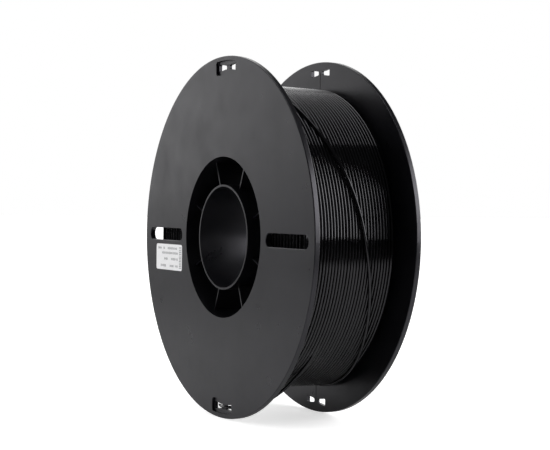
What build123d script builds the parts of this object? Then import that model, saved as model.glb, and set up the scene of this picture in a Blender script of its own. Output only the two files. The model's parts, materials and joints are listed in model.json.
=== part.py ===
"""Filament spool: two moulded halves that snap together inside the hub, the filament wound
between their flanges, and a sticker on one flange.

Millimetres. The origin is the middle of the bore, half way along it. +Y runs along the spool's
axis from the near flange to the far one, +Z is up, and the near flange's window slots lie along X.
"""
import os
from math import cos, pi, radians, sin, tan

from build123d import *

# Overall
spool_width = 64.0
flange_radius = 100.0
flange_thickness = 3.0
rim_round = 0.45

# Hub: an outer barrel and an inner bore tube, joined by thin ribs
hub_radius = 44.6
barrel_wall = 2.0
bore_radius = 28.0
bore_wall = 1.1
bore_recess = 0.65
rib_count = 8
rib_first_angle = 22.5
rib_thickness = 0.9
rib_recess = 5.0
wall_bite = 0.5

# Snap joint at mid-width: a spigot on the near half enters a socket in the far half
spigot_length = 4.0
spigot_wall = 0.9
joint_clearance = 0.1
rib_gap = 0.1
bead_height = 0.35
bead_width = 1.0
bead_offset = 2.4
bead_arc = 20.0

# Window slots at +X and -X of the near flange
slot_length = 43.6
slot_height = 7.3
slot_centre = 71.8
slot_chamfer = 0.3

# Filament clips at +Z and -Z of each flange: a shallow recess round two tapered holes that face
# each other across a low bridge
clip_radius = 93.7
clip_shift = 2.5
clip_length = 23.0
clip_height = 8.4
clip_corner = 2.4
clip_outer_radius = 97.6
clip_depth = 1.2
clip_hole_far = 9.9
clip_hole_near = 1.8
clip_hole_tall = 2.1
clip_hole_short = 1.0
clip_hole_round = 0.7
saddle_depth = 1.7
saddle_height = 2.6
groove_width = 0.5
groove_depth = 0.3
groove_start = 50.0

# Filament
strand_diameter = 1.75
winding_gap = 0.6
winding_inner_clearance = 0.3
turn_pitch = 1.87
turn_count = 29
top_radius = 84.5
top_layer_depth = 1.8
turn_groove = 0.55
layer_gap = 0.05
strand_lift = 0.25

# Where the crossing strand runs over the last layer: angle from +X and distance along Y
crossing_route = [
    (88, -26.0),
    (76, -22.0),
    (64, -17.8),
    (52, -13.2),
    (40, -8.4),
    (28, -2.9),
    (16, 2.2),
    (4, 6.1),
    (-8, 9.6),
    (-20, 13.6),
    (-32, 17.2),
    (-44, 20.5),
    (-56, 23.2),
    (-68, 25.4),
]

# Tail of the filament: off the winding, through the near flange's lower clip and back in
tail_route = [
    (65.7, -6.3, -54.9),
    (55.9, -6.9, -65.3),
    (44.7, -8.6, -74.0),
    (38.4, -13.4, -81.4),
    (32.2, -19.2, -87.4),
    (24.4, -23.4, -90.9),
    (12.6, -27.3, -93.2),
    (2.5, -33.0, -93.7),
    (-8.9, -27.0, -93.7),
]

# Start of the filament: a short stub through an oblique hole in the near half's barrel
anchor_y = -20.0
anchor_lean = 50.0
anchor_hole_diameter = 2.4
anchor_inside = 4.5
anchor_outside = 6.0

# Sticker on the near flange
label_width = 35.0
label_height = 15.3
label_thickness = 0.1
label_corner = 1.5
label_centre_x = -67.2
label_centre_z = -13.7

# Worked out from the above
half_width = spool_width / 2
barrel_radius = hub_radius + barrel_wall
tube_radius = bore_radius + bore_wall
spigot_radius = hub_radius + spigot_wall
socket_radius = spigot_radius + joint_clearance
winding_half = half_width - flange_thickness - winding_gap
winding_radius = barrel_radius + winding_inner_clearance
strand_radius = strand_diameter / 2

# Each half is drawn with its flange's outer face on z = 0 and the spool's middle at z = half_width
near_side = Plane(origin=(0, -half_width, 0), x_dir=(1, 0, 0), z_dir=(0, 1, 0))
far_side = Plane(origin=(0, half_width, 0), x_dir=(1, 0, 0), z_dir=(0, -1, 0))
spool_axis = Plane(origin=(0, 0, 0), x_dir=(1, 0, 0), z_dir=(0, 1, 0))


def turned(points, arc=360.0):
    """Revolve a closed outline of (radius, height) points about Z."""
    outline = make_face(Polyline(*[(radius, 0, height) for radius, height in points], close=True))
    return revolve(outline, Axis.Z, arc)


def ring(inner, outer, low, high, arc=360.0):
    """A plain ring, or an arc of one, about Z."""
    return turned([(inner, low), (outer, low), (outer, high), (inner, high)], arc)


def snap_beads(inner, outer, low, high):
    """One short arc of bead in the middle of each gap between ribs."""
    spacing = 360.0 / rib_count
    segment = Rot(Z=-bead_arc / 2) * ring(inner, outer, low, high, bead_arc)
    return [Rot(Z=index * spacing) * segment for index in range(rib_count)]


def clip_cutters(side):
    """Solids to cut away for the filament clip at local +Y (side 1) or -Y (side -1)."""
    recess_outline = Pos(clip_shift, clip_radius) * RectangleRounded(clip_length, clip_height, clip_corner)
    recess_outline = recess_outline & Circle(clip_outer_radius)
    recess = extrude(recess_outline, clip_depth)
    hole_outline = make_face(
        Polyline(
            (clip_hole_near, -clip_hole_short),
            (clip_hole_far, -clip_hole_tall),
            (clip_hole_far, clip_hole_tall),
            (clip_hole_near, clip_hole_short),
            close=True,
        )
    )
    hole_outline = fillet(hole_outline.vertices(), clip_hole_round)
    hole = extrude(hole_outline, flange_thickness)
    centre = Pos(clip_shift, clip_radius, 0)
    saddle_length = 2 * (clip_hole_near + clip_hole_round)
    saddle = centre * Pos(0, 0, saddle_depth / 2) * Box(saddle_length, saddle_height, saddle_depth)
    groove_length = clip_radius - groove_start
    groove = Pos(clip_shift, groove_start + groove_length / 2, flange_thickness - groove_depth / 2) * Box(
        groove_width, groove_length, groove_depth
    )
    cutters = [recess, centre * hole, centre * mirror(hole, Plane.YZ), saddle, groove]
    if side > 0:
        return cutters
    return [mirror(cutter, Plane.XZ) for cutter in cutters]


def half_shell(barrel_outline):
    """Flange, barrel, bore tube and ribs of one half, with its clips cut."""
    shell = turned(barrel_outline)
    circles = shell.edges().filter_by(GeomType.CIRCLE)
    shell = fillet([edge for edge in circles if abs(edge.radius - flange_radius) < 0.01], rim_round)
    shell += ring(bore_radius, tube_radius, bore_recess, half_width)
    rib_length = hub_radius - tube_radius + 2 * wall_bite
    rib_height = half_width - rib_gap - rib_recess
    rib = Pos(tube_radius - wall_bite + rib_length / 2, 0, rib_recess + rib_height / 2) * Box(
        rib_length, rib_thickness, rib_height
    )
    for index in range(rib_count):
        shell += Rot(Z=rib_first_angle + index * 360.0 / rib_count) * rib
    for side in (-1, 1):
        for cutter in clip_cutters(side):
            shell -= cutter
    return shell


def cut_slots(shell):
    """Cut the two window slots through the flange, and break their outer edges."""
    for side in (-1, 1):
        shell -= extrude(Pos(side * slot_centre, 0) * SlotOverall(slot_length, slot_height), flange_thickness)
    slot_edges = [
        edge
        for edge in shell.edges()
        if edge.bounding_box().max.Z < 0.001
        and abs(edge.center().Y) <= slot_height
        and hub_radius < abs(edge.center().X) < flange_radius - rim_round
    ]
    return chamfer(slot_edges, slot_chamfer)


def make_near_half():
    """The half with the window slots, the spigot, and the hole that anchors the filament's start."""
    shell = half_shell(
        [
            (hub_radius, 0),
            (flange_radius, 0),
            (flange_radius, flange_thickness),
            (barrel_radius, flange_thickness),
            (barrel_radius, half_width),
            (spigot_radius, half_width),
            (spigot_radius, half_width + spigot_length),
            (hub_radius, half_width + spigot_length),
        ]
    )
    shell = cut_slots(shell)
    bead_low = half_width + bead_offset - bead_width / 2
    bead_high = bead_low + bead_width
    for bead in snap_beads(spigot_radius - wall_bite, spigot_radius + bead_height, bead_low, bead_high):
        shell += bead
    hole_length = anchor_inside + anchor_outside
    return near_side * shell - anchor_line() * Cylinder(anchor_hole_diameter / 2, hole_length)


def make_far_half():
    """The half with the socket, grooved for the snap beads."""
    socket_floor = half_width - spigot_length - joint_clearance
    shell = half_shell(
        [
            (hub_radius, 0),
            (flange_radius, 0),
            (flange_radius, flange_thickness),
            (barrel_radius, flange_thickness),
            (barrel_radius, half_width),
            (hub_radius, half_width),
        ]
    )
    shell -= ring(hub_radius - joint_clearance, socket_radius, socket_floor, half_width)
    groove_high = half_width - bead_offset + bead_width / 2 + joint_clearance
    groove_low = half_width - bead_offset - bead_width / 2 - joint_clearance
    groove_radius = spigot_radius + bead_height + joint_clearance
    for groove in snap_beads(hub_radius, groove_radius, groove_low, groove_high):
        shell -= groove
    return far_side * shell


def anchor_line():
    """The line of the anchor hole at -X of the barrel, leaning away from the radius."""
    middle = (-(hub_radius + barrel_wall / 2), anchor_y, 0)
    direction = (cos(radians(anchor_lean)), 0, -sin(radians(anchor_lean)))
    shift = (anchor_inside - anchor_outside) / 2
    return Plane(origin=middle, z_dir=direction) * Pos(0, 0, shift)


def make_winding():
    """The inner layers, as one plain ring."""
    radius = top_radius - top_layer_depth - layer_gap
    return spool_axis * ring(winding_radius, radius, -winding_half, winding_half)


def make_top_layer():
    """The last layer, one ridge for each turn. It stops short of the far flange."""
    inner = top_radius - top_layer_depth
    valley = top_radius - turn_groove
    start = -winding_half
    edges = []
    for index in range(turn_count):
        low = start + index * turn_pitch
        crest = low + turn_pitch / 2
        high = low + turn_pitch
        edges.append(ThreePointArc((valley, 0, low), (top_radius, 0, crest), (valley, 0, high)))
    end = start + turn_count * turn_pitch
    edges.append(Polyline((valley, 0, end), (inner, 0, end), (inner, 0, start), (valley, 0, start)))
    return spool_axis * revolve(make_face(edges), Axis.Z)


def corner_turn(before, corner, after):
    """The angle in degrees that a route turns by at a corner."""
    return (Vector(*corner) - Vector(*before)).get_angle(Vector(*after) - Vector(*corner))


def strand_along(points, name):
    """A strand along straight runs joined by the largest tangent arcs the runs allow."""
    radii = []
    for before, corner, after in zip(points, points[1:], points[2:]):
        shorter = min((Vector(*corner) - Vector(*before)).length, (Vector(*after) - Vector(*corner)).length)
        radii.append(0.45 * shorter / tan(radians(corner_turn(before, corner, after)) / 2))
    print(name, "bend radii", [round(radius, 1) for radius in radii])
    path = FilletPolyline(*points, radius=radii)
    strand = sweep(Plane(origin=path @ 0, z_dir=path % 0) * Circle(strand_radius), path=path)
    section = pi * strand_radius**2
    print(name, "length", round(path.length, 2), "volume / section", round(strand.volume / section, 2))
    return strand


def make_crossing_strand():
    """The strand that crosses the last layer on the slant, from one flange to the other."""
    step = crossing_route[0][0] - crossing_route[1][0]
    radius = (top_radius + strand_radius + strand_lift) / cos(radians(step) / 2)
    points = [(radius * cos(radians(angle)), y, radius * sin(radians(angle))) for angle, y in crossing_route]
    return strand_along(points, "crossing_strand")


def make_filament_tail():
    """The free end of the filament, held by the lower clip of the near flange."""
    return strand_along(tail_route, "filament_tail")


def make_filament_start():
    """The stub of filament in the anchor hole, cut off where it meets the inner layers."""
    stub = anchor_line() * Cylinder(strand_radius, anchor_inside + anchor_outside)
    return stub - make_winding()


def make_label():
    """The sticker under the near flange's -X slot."""
    outline = RectangleRounded(label_width, label_height, label_corner)
    sticker = extrude(outline, label_thickness)
    face = Plane(origin=(label_centre_x, -half_width, label_centre_z), x_dir=(1, 0, 0), z_dir=(0, -1, 0))
    return face * sticker


parts = {
    "near_half": make_near_half(),
    "far_half": make_far_half(),
    "wound_filament": make_winding(),
    "top_layer": make_top_layer(),
    "crossing_strand": make_crossing_strand(),
    "filament_tail": make_filament_tail(),
    "filament_start": make_filament_start(),
    "label": make_label(),
}

os.makedirs("parts", exist_ok=True)
for name, shape in parts.items():
    solids = shape.solids()
    assert len(solids) == 1, f"{name} has {len(solids)} solids"
    export_step(solids[0], f"parts/{name}.step")
    print(f"{name:16s} volume {solids[0].volume:10.1f} mm3")
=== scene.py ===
"""Looks for the filament spool: the wound strand, the sticker, materials, studio and camera.

Metres, in the CAD frame: the origin is the middle of the bore, +Y runs along the spool's axis
from the near flange to the far one, and +Z is up.
"""
import json
import math
import random

import bmesh
import bpy
from mathutils import Matrix, Vector, noise

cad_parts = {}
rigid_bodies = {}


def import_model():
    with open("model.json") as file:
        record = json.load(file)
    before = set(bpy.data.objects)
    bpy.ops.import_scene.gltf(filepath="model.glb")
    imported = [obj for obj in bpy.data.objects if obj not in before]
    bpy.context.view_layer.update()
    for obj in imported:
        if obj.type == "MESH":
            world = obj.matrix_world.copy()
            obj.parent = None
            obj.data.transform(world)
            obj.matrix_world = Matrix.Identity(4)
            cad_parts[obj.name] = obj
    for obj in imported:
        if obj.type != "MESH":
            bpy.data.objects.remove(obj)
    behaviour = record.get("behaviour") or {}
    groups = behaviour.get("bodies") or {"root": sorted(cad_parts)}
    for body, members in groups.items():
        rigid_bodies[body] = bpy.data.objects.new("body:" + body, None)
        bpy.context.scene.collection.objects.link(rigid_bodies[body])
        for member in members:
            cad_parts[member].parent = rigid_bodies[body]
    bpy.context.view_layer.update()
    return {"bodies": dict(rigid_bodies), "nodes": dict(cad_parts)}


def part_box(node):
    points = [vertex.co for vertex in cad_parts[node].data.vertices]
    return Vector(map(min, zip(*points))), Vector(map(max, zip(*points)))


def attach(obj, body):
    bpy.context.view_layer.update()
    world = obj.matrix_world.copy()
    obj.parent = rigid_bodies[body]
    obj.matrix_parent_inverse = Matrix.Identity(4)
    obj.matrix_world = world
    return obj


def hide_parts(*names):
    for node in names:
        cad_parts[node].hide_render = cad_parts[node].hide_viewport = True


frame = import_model()

MM = 0.001
BODY = next(iter(frame["bodies"]))

# Sizes taken from the frame
top_low, top_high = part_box("top_layer")
label_low, label_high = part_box("label")
FLANGE_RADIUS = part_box("near_half")[1].z
TOP_RADIUS = top_high.x
TOP_START = top_low.y
TOP_END = top_high.y
WINDING_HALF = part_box("wound_filament")[1].y

# The strand
STRAND_RADIUS = 0.875 * MM
TURN_COUNT = 29
TURN_PITCH = (TOP_END - TOP_START) / TURN_COUNT
LAYER_STEP = 1.62 * MM
INNER_RADIUS = 47.0 * MM
CORE_INSET = 1.4 * MM

# The crossing strand: degrees from +X, mm along Y, and how many mm it dips towards the winding
CROSSING_ROUTE = [
    (126, -27.4, 2.0),
    (113, -27.3, 1.0),
    (100, -26.9, 0.2),
    (88, -26.0, 0),
    (76, -22.0, 0),
    (64, -17.8, 0),
    (52, -13.2, 0),
    (40, -8.4, 0),
    (28, -2.9, 0),
    (16, 2.2, 0),
    (4, 6.1, 0),
    (-8, 9.6, 0),
    (-20, 13.6, 0),
    (-32, 17.2, 0),
    (-44, 20.5, 0),
    (-56, 23.2, 0),
    (-68, 25.4, 0.3),
    (-80, 26.8, 1.2),
    (-92, 27.3, 2.0),
]

# The free end: out of the last layer, through the lower clip and back in
TAIL_ROUTE = [
    (72.2, -6.0, -41.1),
    (64.2, -6.3, -53.4),
    (54.9, -6.9, -64.2),
    (44.5, -8.6, -73.6),
    (38.4, -13.4, -81.4),
    (32.2, -19.2, -87.4),
    (24.4, -23.4, -90.9),
    (12.6, -27.3, -93.2),
    (2.5, -33.0, -93.7),
    (-8.9, -27.0, -93.7),
]

# Lights, in metres, radiance and degrees
WALL_DIRECTION = (-0.98, 0.10, 0.17)
WALL_FADES_FROM = 15
WALL_FADES_OUT = 48
WALL_GLOW = 2.15
ROOM_GLOW = 0.05
FLOOR_GLOW = 0.62
SIDE_PLACE = (0.50, 0.87, 0.39)
SIDE_WIDTH = 1.46
SIDE_HEIGHT = 0.76
SIDE_RADIANCE = 5.2
TOP_PLACE = (-0.20, -0.10, 1.2)
TOP_WIDTH = 1.4
TOP_DEPTH = 0.45
TOP_RADIANCE = 2.7
FLOOR_LIT_TO = 0.58
FLOOR_LIT_CENTRE = (-0.2, -0.113, -0.1)
FRONT_PLACE = (-0.2, -1.3, 0.5)
FRONT_SIZE = 0.9
FRONT_RADIANCE = 5.0

random.seed(7)


# ---------------------------------------------------------------- camera

CAMERA_AZIMUTH = math.radians(60.45)
CAMERA_PITCH = math.radians(-0.325)
CAMERA_DISTANCE = 808.8 * MM
CAMERA_RIGHT = 1.74 * MM
CAMERA_UP = 6.8 * MM
CAMERA_LENS = 93.83
SPOOL_CLOCK = math.radians(1.5)


def make_camera():
    """A long lens at hub height, turned a little about the spool's axis."""
    back = Vector(
        (
            math.sin(CAMERA_AZIMUTH) * math.cos(CAMERA_PITCH),
            -math.cos(CAMERA_AZIMUTH) * math.cos(CAMERA_PITCH),
            math.sin(CAMERA_PITCH),
        )
    )
    right = Vector((math.cos(CAMERA_AZIMUTH), math.sin(CAMERA_AZIMUTH), 0))
    up = back.cross(right)
    place = Matrix.Identity(4)
    for column, axis in enumerate((right, up, back)):
        place.col[column].xyz = axis
    place.translation = back * CAMERA_DISTANCE + right * CAMERA_RIGHT + up * CAMERA_UP
    data = bpy.data.cameras.new("camera")
    data.lens = CAMERA_LENS
    data.sensor_width = 36
    data.clip_start = 0.01
    data.clip_end = 20
    camera = bpy.data.objects.new("camera", data)
    bpy.context.collection.objects.link(camera)
    camera.matrix_world = Matrix.Rotation(-SPOOL_CLOCK, 4, "Y") @ place
    bpy.context.scene.camera = camera


# ---------------------------------------------------------------- mesh helpers


def finish_piece(obj, material, slot, *stands_for):
    """Give a new piece its material and body, and hide the CAD nodes it stands for."""
    obj.data.materials.append(material)
    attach(obj, BODY)
    if stands_for:
        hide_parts(*stands_for)
    return obj


def dress(node, material):
    """Give a kept CAD node a new material."""
    part = frame["nodes"][node]
    part.data.materials.clear()
    part.data.materials.append(material)


def object_from(bm, name):
    """A smooth-shaded object from a bmesh."""
    mesh = bpy.data.meshes.new(name)
    bm.to_mesh(mesh)
    bm.free()
    mesh.polygons.foreach_set("use_smooth", [True] * len(mesh.polygons))
    obj = bpy.data.objects.new(name, mesh)
    bpy.context.collection.objects.link(obj)
    return obj


def add_tube(bm, points, radius, sides, closed=False):
    """A round tube along points, kept from twisting by carrying its frame along."""
    count = len(points)
    rings = []
    normal = None
    for index, point in enumerate(points):
        if closed:
            ahead = points[(index + 1) % count] - points[index - 1]
        else:
            ahead = points[min(index + 1, count - 1)] - points[max(index - 1, 0)]
        ahead.normalize()
        if normal is None:
            normal = Vector((point.x, 0, point.z)).normalized()
        normal = (normal - ahead * normal.dot(ahead)).normalized()
        side = ahead.cross(normal)
        ring = []
        for step in range(sides):
            angle = 2 * math.pi * step / sides
            offset = normal * math.cos(angle) + side * math.sin(angle)
            ring.append(bm.verts.new(point + offset * radius))
        rings.append(ring)
    spans = count if closed else count - 1
    for index in range(spans):
        first = rings[index]
        second = rings[(index + 1) % count]
        for step in range(sides):
            after = (step + 1) % sides
            bm.faces.new((first[step], first[after], second[after], second[step]))
    if not closed:
        bm.faces.new(list(reversed(rings[0])))
        bm.faces.new(rings[-1])


def on_spool(angle, radius, y):
    """A point at an angle from +X towards +Z round the spool's axis."""
    return Vector((radius * math.cos(angle), y, radius * math.sin(angle)))


# ---------------------------------------------------------------- filament

TOP_CENTRE = TOP_RADIUS - STRAND_RADIUS
STEPS_PER_TURN = 320
START_ANGLE = math.radians(250)
WANDER = 0.17 * MM
LIFT = 0.06 * MM
HEAP_HEIGHT = 1.0 * MM
HEAP_ANGLE = math.radians(106)
HEAP_Y = -9 * MM
HEAP_HALF_WIDTH = 14 * MM
HEAP_SHARPNESS = 12
SHIFT_FROM = 0.9
SINK_TURNS = 0.06


def wound_turn(angle, y, seed, sink):
    """A point of a wound turn, which wanders a little and rises over a low heap near the top."""
    flow = Vector((math.cos(angle) * 1.7, math.sin(angle) * 1.7, seed))
    along = noise.noise(flow) * WANDER
    lift = noise.noise(flow + Vector((9, 3, 5))) * LIFT
    away = (1 - math.cos(angle - HEAP_ANGLE)) * HEAP_SHARPNESS + ((y - HEAP_Y) / HEAP_HALF_WIDTH) ** 2
    heap = HEAP_HEIGHT * math.exp(-away)
    return on_spool(angle, TOP_CENTRE + lift + heap - sink, y + along)


def make_top_turns(material):
    """The last layer: one strand wound from the near flange almost to the far one."""
    bm = bmesh.new()
    start = TOP_START + TURN_PITCH / 2
    points = []
    for step in range(TURN_COUNT * STEPS_PER_TURN + 1):
        turns = step / STEPS_PER_TURN
        whole = int(turns)
        share = turns - whole
        shift = max(0.0, (share - SHIFT_FROM) / (1 - SHIFT_FROM))
        y = start + (min(whole, TURN_COUNT - 1) + shift * (whole < TURN_COUNT - 1)) * TURN_PITCH
        angle = START_ANGLE + 2 * math.pi * turns
        to_end = min(turns, TURN_COUNT - turns)
        sink = max(0.0, 1 - to_end / SINK_TURNS) * LAYER_STEP
        points.append(wound_turn(angle, y, turns * 0.61, sink))
    add_tube(bm, points, STRAND_RADIUS, 18)
    obj = object_from(bm, "top_turns")
    return finish_piece(obj, material, "filament", "top_layer")


def add_core(bm, inner, outer, half, steps):
    """A plain ring inside the layers, which fills them so that no light comes through."""
    rings = []
    for radius, y in ((inner, -half), (outer, -half), (outer, half), (inner, half)):
        points = [on_spool(2 * math.pi * step / steps, radius, y) for step in range(steps)]
        rings.append([bm.verts.new(point) for point in points])
    for index, ring in enumerate(rings):
        after = rings[(index + 1) % 4]
        for step in range(steps):
            bm.faces.new((ring[step], after[step], after[(step + 1) % steps], ring[(step + 1) % steps]))


def make_under_layers(material):
    """The layer under the last one, the end turns of every layer beside each flange, and a core."""
    bm = bmesh.new()
    steps = 160
    under = TOP_CENTRE - LAYER_STEP
    add_core(bm, INNER_RADIUS, under, WINDING_HALF - CORE_INSET, steps)
    count = round(2 * WINDING_HALF / TURN_PITCH) - 1
    for index in range(count):
        y = TOP_START + TURN_PITCH * (index + 1)
        ring = [on_spool(2 * math.pi * step / steps, under, y) for step in range(steps)]
        add_tube(bm, ring, STRAND_RADIUS, 8, closed=True)
    layers = int((under - INNER_RADIUS) / LAYER_STEP)
    for layer in range(1, layers + 1):
        radius = under - layer * LAYER_STEP
        inset = STRAND_RADIUS + (layer % 2) * TURN_PITCH / 2
        for side in (-1, 1):
            wobble = random.uniform(0, 0.25) * MM
            y = side * (WINDING_HALF - inset - wobble)
            ring = [on_spool(2 * math.pi * step / steps, radius, y) for step in range(steps)]
            add_tube(bm, ring, STRAND_RADIUS, 10, closed=True)
    obj = object_from(bm, "under_turns")
    return finish_piece(obj, material, "filament", "wound_filament")


def smooth_route(name, points):
    """Points along a smooth spline whose control points are the route."""
    curve = bpy.data.curves.new(name, "CURVE")
    curve.dimensions = "3D"
    curve.resolution_u = 24
    spline = curve.splines.new("NURBS")
    spline.points.add(len(points) - 1)
    for control, point in zip(spline.points, points):
        control.co = (*point, 1)
    spline.order_u = 3
    spline.use_endpoint_u = True
    holder = bpy.data.objects.new(name, curve)
    bpy.context.collection.objects.link(holder)
    mesh = bpy.data.meshes.new_from_object(holder)
    line = [vertex.co.copy() for vertex in mesh.vertices]
    bpy.data.objects.remove(holder)
    bpy.data.meshes.remove(mesh)
    return line


def make_strand(name, points, material, stands_for):
    """A single strand along a smooth route."""
    bm = bmesh.new()
    add_tube(bm, smooth_route(name + "_route", points), STRAND_RADIUS, 20)
    return finish_piece(object_from(bm, name), material, "filament", stands_for)


def make_crossing(material):
    """The strand that crosses the last layer, dipping into it at both ends."""
    out = (TOP_RADIUS + STRAND_RADIUS + 0.25 * MM) / math.cos(math.radians(6))
    points = []
    for angle, y, drop in CROSSING_ROUTE:
        points.append(on_spool(math.radians(angle), out - drop * MM, y * MM))
    return make_strand("crossing", points, material, "crossing_strand")


# ---------------------------------------------------------------- sticker

# Rows of the generic print, in mm: height above the sticker's middle, then runs across it
PRINT_ROWS = [
    (5.2, [(-14.8, -10.1), (-7.7, -6.0), (-1.8, 11.3)]),
    (2.4, [(-9.5, 5.3), (6.0, 12.0)]),
    (-1.1, [(-6.5, -1.8), (3.0, 9.5), (10.0, 12.0)]),
    (-5.2, [(-11.3, -4.2), (1.2, 6.5), (8.3, 12.0)]),
]
MARK_HEIGHT = 1.5
MARK_RISE = 0.03
COLUMN_PLACE = 15.2
COLUMN_HIGH = 6.2
COLUMN_LOW = -6.6


def add_block(bm, left, right, low, high):
    """A thin printed block on the sticker's face, from millimetres off the sticker's middle."""
    middle = (label_low + label_high) / 2
    corners = []
    for rise in (0, MARK_RISE):
        for u, v in ((left, low), (right, low), (right, high), (left, high)):
            corners.append(bm.verts.new((middle.x + u * MM, label_low.y - rise * MM, middle.z + v * MM)))
    bm.faces.new(corners[4:])
    bm.faces.new(reversed(corners[:4]))
    for index in range(4):
        after = (index + 1) % 4
        bm.faces.new((corners[index], corners[after], corners[4 + after], corners[4 + index]))


def make_label_print(material):
    """Generic bars, as long as words, and a column of short bars at the right."""
    bm = bmesh.new()
    for height, runs in PRINT_ROWS:
        for left, right in runs:
            place = left
            while place < right - 0.3:
                width = min(random.uniform(0.5, 1.1), right - place)
                tall = MARK_HEIGHT * random.uniform(0.72, 1.0)
                add_block(bm, place, place + width, height - tall / 2, height + tall / 2)
                place += width + random.uniform(0.25, 0.45)
    place = COLUMN_HIGH
    while place > COLUMN_LOW + 0.3:
        tall = random.uniform(0.3, 0.75)
        add_block(bm, COLUMN_PLACE - 1.5, COLUMN_PLACE + 1.5, place - tall, place)
        place -= tall + random.uniform(0.25, 0.5)
    bmesh.ops.recalc_face_normals(bm, faces=bm.faces)
    obj = object_from(bm, "label_print")
    obj.data.polygons.foreach_set("use_smooth", [False] * len(obj.data.polygons))
    return finish_piece(obj, material, "sticker")


# ---------------------------------------------------------------- materials


class Nodes:
    """Short calls for a material's node tree."""

    def __init__(self, name):
        self.material = bpy.data.materials.new(name)
        self.material.use_nodes = True
        self.tree = self.material.node_tree
        self.shader = self.tree.nodes["Principled BSDF"]

    def add(self, kind, **values):
        """A node with its properties or input sockets set by name."""
        node = self.tree.nodes.new(kind)
        for key, value in values.items():
            if key in node.inputs:
                node.inputs[key].default_value = value
            else:
                setattr(node, key, value)
        return node

    def link(self, source, target):
        self.tree.links.new(source, target)

    def noise(self, scale, detail=3.0, roughness=0.55, vector=None):
        """Noise in object space, with scale in bumps per metre."""
        if vector is None:
            vector = self.add("ShaderNodeTexCoord").outputs["Object"]
        node = self.add("ShaderNodeTexNoise", Scale=scale, Detail=detail, Roughness=roughness)
        self.link(vector, node.inputs["Vector"])
        return node.outputs["Fac"]

    def spread(self, source, low, high, out_low, out_high):
        """Map a range of a value onto another range."""
        node = self.add("ShaderNodeMapRange")
        self.link(source, node.inputs["Value"])
        node.inputs["From Min"].default_value = low
        node.inputs["From Max"].default_value = high
        node.inputs["To Min"].default_value = out_low
        node.inputs["To Max"].default_value = out_high
        return node.outputs["Result"]

    def mix(self, share, first, second):
        """A colour between two, by a share that may be a socket."""
        node = self.add("ShaderNodeMix", data_type="RGBA")
        self.link(share, node.inputs["Factor"])
        node.inputs["A"].default_value = (*first, 1)
        node.inputs["B"].default_value = (*second, 1)
        return node.outputs["Result"]

    def bump(self, source, strength, distance, normal=None):
        node = self.add("ShaderNodeBump", Strength=strength, Distance=distance)
        self.link(source, node.inputs["Height"])
        if normal is not None:
            self.link(normal, node.inputs["Normal"])
        return node.outputs["Normal"]


def spool_plastic():
    """Black moulded plastic with a fine satin grain."""
    made = Nodes("spool_plastic")
    shade = made.noise(18, 4)
    colour = made.mix(made.spread(shade, 0.3, 0.7, 0, 1), (0.0022, 0.0022, 0.0030), (0.0036, 0.0036, 0.0050))
    made.link(colour, made.shader.inputs["Base Color"])
    smear = made.noise(60, 5)
    made.link(made.spread(smear, 0.3, 0.7, 0.27, 0.38), made.shader.inputs["Roughness"])
    grain = made.bump(made.noise(2600, 2), 0.12, 0.02 * MM)
    waves = made.bump(made.noise(45, 2), 0.10, 0.3 * MM, grain)
    made.link(waves, made.shader.inputs["Normal"])
    made.shader.inputs["IOR"].default_value = 1.5
    made.shader.inputs["Specular Tint"].default_value = (0.93, 0.91, 1.0, 1)
    return made.material


def filament_plastic():
    """Glossy extruded filament."""
    made = Nodes("filament_gloss")
    shade = made.noise(30, 2)
    colour = made.mix(made.spread(shade, 0.3, 0.7, 0, 1), (0.0015, 0.0015, 0.0018), (0.003, 0.003, 0.0034))
    made.link(colour, made.shader.inputs["Base Color"])
    smear = made.noise(120, 3)
    made.link(made.spread(smear, 0.3, 0.7, 0.07, 0.14), made.shader.inputs["Roughness"])
    ripple = made.bump(made.noise(70, 1), 0.10, 0.1 * MM)
    made.link(ripple, made.shader.inputs["Normal"])
    made.shader.inputs["IOR"].default_value = 1.5
    made.shader.inputs["Specular Tint"].default_value = (0.95, 0.94, 1.0, 1)
    return made.material


def label_paper():
    """White coated paper."""
    made = Nodes("label_paper")
    fibre = made.noise(900, 4)
    colour = made.mix(made.spread(fibre, 0.3, 0.7, 0, 1), (0.80, 0.80, 0.81), (0.86, 0.86, 0.87))
    made.link(colour, made.shader.inputs["Base Color"])
    made.shader.inputs["Roughness"].default_value = 0.55
    made.link(made.bump(made.noise(3000, 2), 0.1, 0.01 * MM), made.shader.inputs["Normal"])
    return made.material


def print_ink():
    """Thin grey print."""
    made = Nodes("print_ink")
    wear = made.noise(1400, 3)
    colour = made.mix(made.spread(wear, 0.3, 0.7, 0, 1), (0.28, 0.28, 0.29), (0.50, 0.50, 0.51))
    made.link(colour, made.shader.inputs["Base Color"])
    made.link(made.spread(wear, 0.3, 0.7, 0.5, 0.7), made.shader.inputs["Roughness"])
    return made.material


# ---------------------------------------------------------------- studio


def stage_plane(name, corners, material):
    """A flat four-cornered piece of the studio."""
    mesh = bpy.data.meshes.new(name)
    mesh.from_pydata(corners, [], [(0, 1, 2, 3)])
    mesh.materials.append(material)
    obj = bpy.data.objects.new(name, mesh)
    bpy.context.collection.objects.link(obj)
    return obj


def softbox(name, place, target, width, height, radiance):
    """A soft rectangular light that faces a point, with its brightness per area and angle."""
    data = bpy.data.lights.new(name, "AREA")
    data.shape = "RECTANGLE"
    data.size = width
    data.size_y = height
    data.energy = radiance * math.pi * width * height
    lamp = bpy.data.objects.new(name, data)
    lamp.location = place
    lamp.rotation_mode = "QUATERNION"
    lamp.rotation_quaternion = (Vector(target) - Vector(place)).to_track_quat("-Z", "Y")
    lamp.visible_camera = False
    bpy.context.collection.objects.link(lamp)
    return lamp


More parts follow.
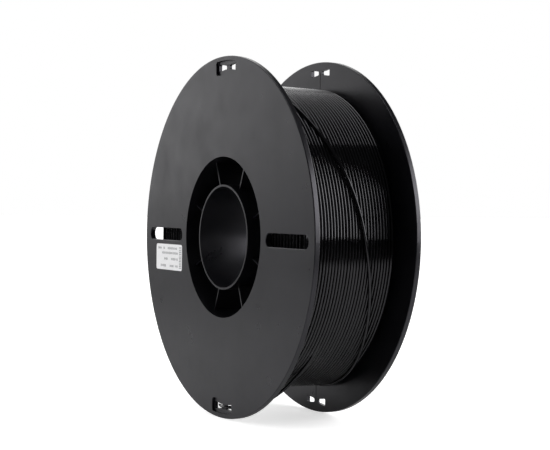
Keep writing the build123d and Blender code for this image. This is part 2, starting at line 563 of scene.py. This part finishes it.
def make_surround():
    """White behind the object; round it, a dim room with one soft bright wall at -X."""
    world = bpy.data.worlds.new("surround")
    world.use_nodes = True
    tree = world.node_tree
    links = tree.links

    def add(kind, **values):
        node = tree.nodes.new(kind)
        for key, value in values.items():
            setattr(node, key, value)
        return node

    towards = add("ShaderNodeTexCoord").outputs["Generated"]
    wall = add("ShaderNodeVectorMath", operation="DOT_PRODUCT")
    links.new(towards, wall.inputs[0])
    wall.inputs[1].default_value = Vector(WALL_DIRECTION).normalized()
    glow = add("ShaderNodeMapRange", interpolation_type="SMOOTHSTEP")
    links.new(wall.outputs["Value"], glow.inputs["Value"])
    glow.inputs["From Min"].default_value = math.cos(math.radians(WALL_FADES_OUT))
    glow.inputs["From Max"].default_value = math.cos(math.radians(WALL_FADES_FROM))
    glow.inputs["To Min"].default_value = ROOM_GLOW
    glow.inputs["To Max"].default_value = WALL_GLOW
    seen = add("ShaderNodeLightPath").outputs["Is Camera Ray"]
    strength = add("ShaderNodeMix", data_type="FLOAT")
    links.new(seen, strength.inputs["Factor"])
    links.new(glow.outputs["Result"], strength.inputs["A"])
    strength.inputs["B"].default_value = 1.0
    links.new(strength.outputs["Result"], tree.nodes["Background"].inputs["Strength"])
    tree.nodes["Background"].inputs["Color"].default_value = (1, 1, 1, 1)
    bpy.context.scene.world = world


def make_floor():
    """A pale floor that runs into the white behind it. In reflections it keeps its pale colour only in its
    middle; beyond that its colour is painted near black, as painted shade.
    """
    made = Nodes("floor")
    reach = made.add("ShaderNodeVectorMath", operation="LENGTH")
    shift = made.add("ShaderNodeVectorMath", operation="SUBTRACT")
    made.link(made.add("ShaderNodeTexCoord").outputs["Object"], shift.inputs[0])
    shift.inputs[1].default_value = FLOOR_LIT_CENTRE
    made.link(shift.outputs["Vector"], reach.inputs[0])
    distance = reach.outputs["Value"]
    seen = made.add("ShaderNodeLightPath").outputs["Is Camera Ray"]
    # Painted shade: to reflected rays the floor's colour turns near black beyond FLOOR_LIT_TO from
    # FLOOR_LIT_CENTRE, where the real floor would go unlit; camera rays see it pale everywhere.
    painted_lit_patch = made.spread(distance, FLOOR_LIT_TO, FLOOR_LIT_TO + 0.05, 1, 0)
    either = made.add("ShaderNodeMath", operation="MAXIMUM")
    made.link(seen, either.inputs[0])
    made.link(painted_lit_patch, either.inputs[1])
    pale_with_painted_shade = made.mix(either.outputs["Value"], (0.01, 0.01, 0.01), (0.78, 0.78, 0.78))
    made.link(pale_with_painted_shade, made.shader.inputs["Base Color"])
    made.shader.inputs["Roughness"].default_value = 0.7
    made.shader.inputs["Emission Color"].default_value = (1, 1, 1, 1)
    shown = made.spread(distance, 0.25, 1.2, FLOOR_GLOW, 1.05)
    glow = made.add("ShaderNodeMath", operation="MULTIPLY")
    made.link(seen, glow.inputs[0])
    made.link(shown, glow.inputs[1])
    made.link(glow.outputs["Value"], made.shader.inputs["Emission Strength"])
    size = 8.0
    z = -FLANGE_RADIUS
    corners = [(-size, -size, z), (size, -size, z), (size, size, z), (-size, size, z)]
    stage_plane("floor", corners, made.material)


def make_studio():
    """The floor, the surround and three soft lights."""
    make_surround()
    make_floor()
    softbox("side_light", SIDE_PLACE, (0, 0, SIDE_PLACE[2]), SIDE_WIDTH, SIDE_HEIGHT, SIDE_RADIANCE)
    softbox("top_light", TOP_PLACE, (TOP_PLACE[0], TOP_PLACE[1], 0), TOP_WIDTH, TOP_DEPTH, TOP_RADIANCE)
    front = softbox("front_light", FRONT_PLACE, (0, 0, 0), FRONT_SIZE, FRONT_SIZE, FRONT_RADIANCE)
    front.visible_glossy = False
    bpy.context.scene.view_settings.view_transform = "Standard"


# ---------------------------------------------------------------- build

make_camera()
plastic = spool_plastic()
gloss = filament_plastic()
dress("near_half", plastic)
dress("far_half", plastic)
dress("filament_start", gloss)
make_top_turns(gloss)
make_crossing(gloss)
make_strand("tail", [Vector(point) * MM for point in TAIL_ROUTE], gloss, "filament_tail")
make_under_layers(gloss)
dress("label", label_paper())
make_label_print(print_ink())
make_studio()
